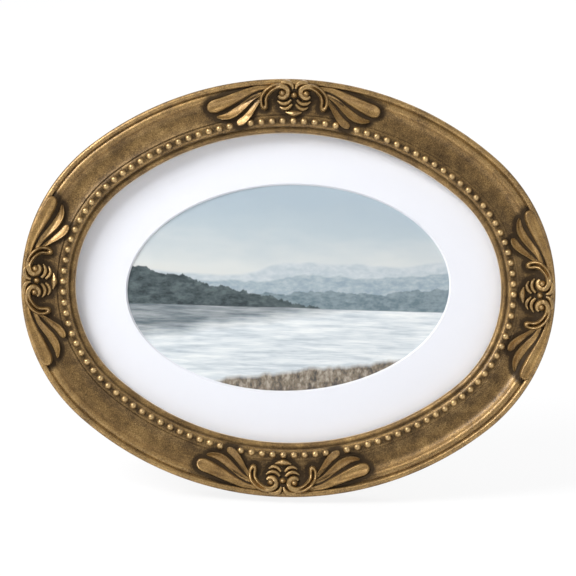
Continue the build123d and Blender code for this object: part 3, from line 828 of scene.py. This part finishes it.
# %% Hardboard
def hardboard(name, dark, pale, tooth):
    material, made, links, shader = new_material(name)
    spot = made.new("ShaderNodeTexCoord").outputs["Object"]
    stretch = made.new("ShaderNodeMapping")
    stretch.inputs["Scale"].default_value = (1.0, 3.0, 3.0)
    links.new(spot, stretch.inputs["Vector"])
    fibre = noise(made, links, stretch.outputs[0], 420, 6, 0.7)
    fleck = noise(made, links, spot, 1500, 2, 0.5)
    pulp = sums(made, links, "ADD", sums(made, links, "MULTIPLY", fibre, 0.65),
                sums(made, links, "MULTIPLY", fleck, 0.35))
    links.new(ramp(made, links, pulp, ((0.36, dark), (0.64, pale))), shader.inputs["Base Color"])
    shader.inputs["Roughness"].default_value = 0.75
    relief(made, links, shader, pulp, tooth, 0.4)
    return material


dress("back_board", hardboard("rough_hardboard", (0.055, 0.034, 0.020), (0.170, 0.110, 0.066), 0.00012))
dress("strut", hardboard("smooth_hardboard", (0.050, 0.031, 0.019), (0.135, 0.086, 0.052), 0.00005))

# %% [markdown]
# Hinge, buttons, hanger, screws and rivets are pressed steel with a thin yellow
# plate, dulled and finely scratched along the rolling direction.

# %% Plated steel
def plated_steel():
    material, made, links, shader = new_material("plated_steel")
    spot = made.new("ShaderNodeTexCoord").outputs["Object"]
    stretch = made.new("ShaderNodeMapping")
    stretch.inputs["Scale"].default_value = (1.0, 14.0, 14.0)
    links.new(spot, stretch.inputs["Vector"])
    scratch = noise(made, links, stretch.outputs[0], 260, 4, 0.65)
    bloom = noise(made, links, spot, 220, 4, 0.6)
    tone = sums(made, links, "ADD", sums(made, links, "MULTIPLY", scratch, 0.4),
                sums(made, links, "MULTIPLY", bloom, 0.6))
    colour = ramp(made, links, tone, (
        (0.3, (0.360, 0.285, 0.150)),
        (0.55, (0.560, 0.460, 0.270)),
        (0.75, (0.700, 0.610, 0.410)),
    ))
    links.new(colour, shader.inputs["Base Color"])
    shader.inputs["Metallic"].default_value = 1.0
    rough = ramp(made, links, tone, ((0.3, (0.46, 0.46, 0.46)), (0.7, (0.27, 0.27, 0.27))))
    links.new(rough, shader.inputs["Roughness"])
    relief(made, links, shader, scratch, 0.00003, 0.25)
    return material


steel = plated_steel()
for name in ("hinge_plate", "hinge_leaf", "hinge_pin", "hanger"):
    dress(name, steel)

# %% [markdown]
# Screw and rivet heads are turned: each is the top half of a sphere, squashed to a
# dome.  A screw's slot is cut by pushing a narrow band of its top faces down.

# %% Heads
def dome(bm, place, radius, height, slot_width=0.0):
    """A round head on a place whose z points away from the surface."""
    made = bmesh.ops.create_uvsphere(bm, u_segments=28, v_segments=18, radius=1)
    low = [v for v in made["verts"] if v.co.z < -0.001]
    bmesh.ops.delete(bm, geom=low, context="VERTS")
    keep = [v for v in made["verts"] if v.is_valid]
    for v in keep:
        x, y, z = v.co.x * radius, v.co.y * radius, v.co.z * height
        if slot_width and abs(y) < slot_width:
            z = min(z, height * 0.5)
        v.co = place @ Vector((x, y, z))
    bmesh.ops.holes_fill(bm, edges=[e for e in bm.edges if e.is_boundary])


def back_place(x, u, behind, turn=0.0):
    """A place on the back of the frame, z to the rear."""
    turned = Matrix.Rotation(math.pi, 4, "Y") @ Matrix.Rotation(turn, 4, "Z")
    return Matrix.Translation((x, u, -behind)) @ turned


button_turn = math.radians(48)
button_x = end_centre + (end_radius - 9.2 * mm) * math.cos(button_turn)
button_u = (end_radius - 9.2 * mm) * math.sin(button_turn)
corners = {"upper_right": (1, 1), "upper_left": (-1, 1), "lower_left": (-1, -1), "lower_right": (1, -1)}
bm = bmesh.new()
for i, (sx, su) in enumerate(corners.values()):
    dome(bm, back_place(sx * button_x, su * button_u, 1.2 * mm, 0.5 + i), 2.9 * mm, 1.5 * mm, 0.42 * mm)
heads = finish_piece("button_screw_heads", bm, "frame", smooth_angle=45)
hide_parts("turn_button_screws")
heads.data.materials.append(steel)

hanger_u, hanger_x = half_height - 9 * mm, 18.5 * mm
bm = bmesh.new()
for i, sx in enumerate((1, -1)):
    dome(bm, back_place(sx * hanger_x, hanger_u, 0.8 * mm, 0.9 - 1.3 * i), 2.0 * mm, 1.0 * mm, 0.32 * mm)
heads = finish_piece("hanger_screw_heads", bm, "frame", smooth_angle=45)
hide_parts("hanger_screws")
heads.data.materials.append(steel)

# %% [markdown]
# The rivets of the hinge have low plain domes.  Those of the leaf lie on the
# strut, so their place comes from the strut's own lean about the hinge.

# %% Rivets
bm = bmesh.new()
for sx in (1, -1):
    dome(bm, back_place(sx * 7.5 * mm, 27.0 * mm, 0.65 * mm), 2.1 * mm, 0.8 * mm)
rivets = finish_piece("plate_rivet_heads", bm, "frame", smooth_angle=45)
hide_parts("hinge_plate_rivets")
rivets.data.materials.append(steel)

strut_lean = math.radians(24) - lean
hinge_spot = face_place @ Vector((0, 18 * mm, -1.95 * mm))
strut_place = Matrix((
    (1, 0, 0, hinge_spot.x),
    (0, -math.sin(strut_lean), -math.cos(strut_lean), hinge_spot.y),
    (0, math.cos(strut_lean), -math.sin(strut_lean), hinge_spot.z),
    (0, 0, 0, 1),
))
bm = bmesh.new()
for sx in (1, -1):
    dome(bm, strut_place @ back_place(sx * 7.5 * mm, -10.0 * mm, 2.3 * mm), 2.1 * mm, 0.8 * mm)
rivets = finish_piece(
    "leaf_rivet_heads", bm, "strut", lean_back=False, smooth_angle=45
)
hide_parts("hinge_leaf_rivets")
rivets.data.materials.append(steel)

# %% [markdown]
# A turn button is a stamped plate, wide round its screw and narrow at the nose.
# Two circles and their hull give the outline, an extrusion the thickness, and a
# small bevel the rounded edge that stamping leaves.

# %% Turn buttons
for name, (sx, su) in corners.items():
    bm = bmesh.new()
    bmesh.ops.create_circle(bm, segments=40, radius=4.35 * mm)
    bmesh.ops.create_circle(bm, segments=40, radius=3.15 * mm, matrix=Matrix.Translation((9.8 * mm, 0, 0)))
    hull = bmesh.ops.convex_hull(bm, input=bm.verts[:])
    inside = {g for g in hull["geom_interior"] if isinstance(g, bmesh.types.BMVert)}
    bmesh.ops.delete(bm, geom=list(inside), context="VERTS")
    bmesh.ops.dissolve_limit(bm, angle_limit=0.02, verts=bm.verts[:], edges=bm.edges[:])
    plate = bmesh.ops.extrude_face_region(bm, geom=bm.faces[:])
    raised = [g for g in plate["geom"] if isinstance(g, bmesh.types.BMVert)]
    bmesh.ops.translate(bm, verts=raised, vec=(0, 0, 0.96 * mm))
    bmesh.ops.recalc_face_normals(bm, faces=bm.faces[:])
    rims = [e for e in bm.edges if e.calc_face_angle(0) > 1.2]
    bmesh.ops.bevel(bm, geom=rims, offset=0.25 * mm, segments=2, profile=0.5, affect="EDGES", material=-1)
    inward = math.atan2(-su * math.sin(button_turn), sx * math.cos(button_turn))
    button_place = back_place(sx * button_x, su * button_u, 0.12 * mm, inward)
    bmesh.ops.transform(bm, matrix=button_place, verts=bm.verts[:])
    node = "turn_button_" + name
    button = finish_piece("button_plate_" + name, bm, "button_" + name, smooth_angle=30)
    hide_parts(node)
    button.data.materials.append(steel)
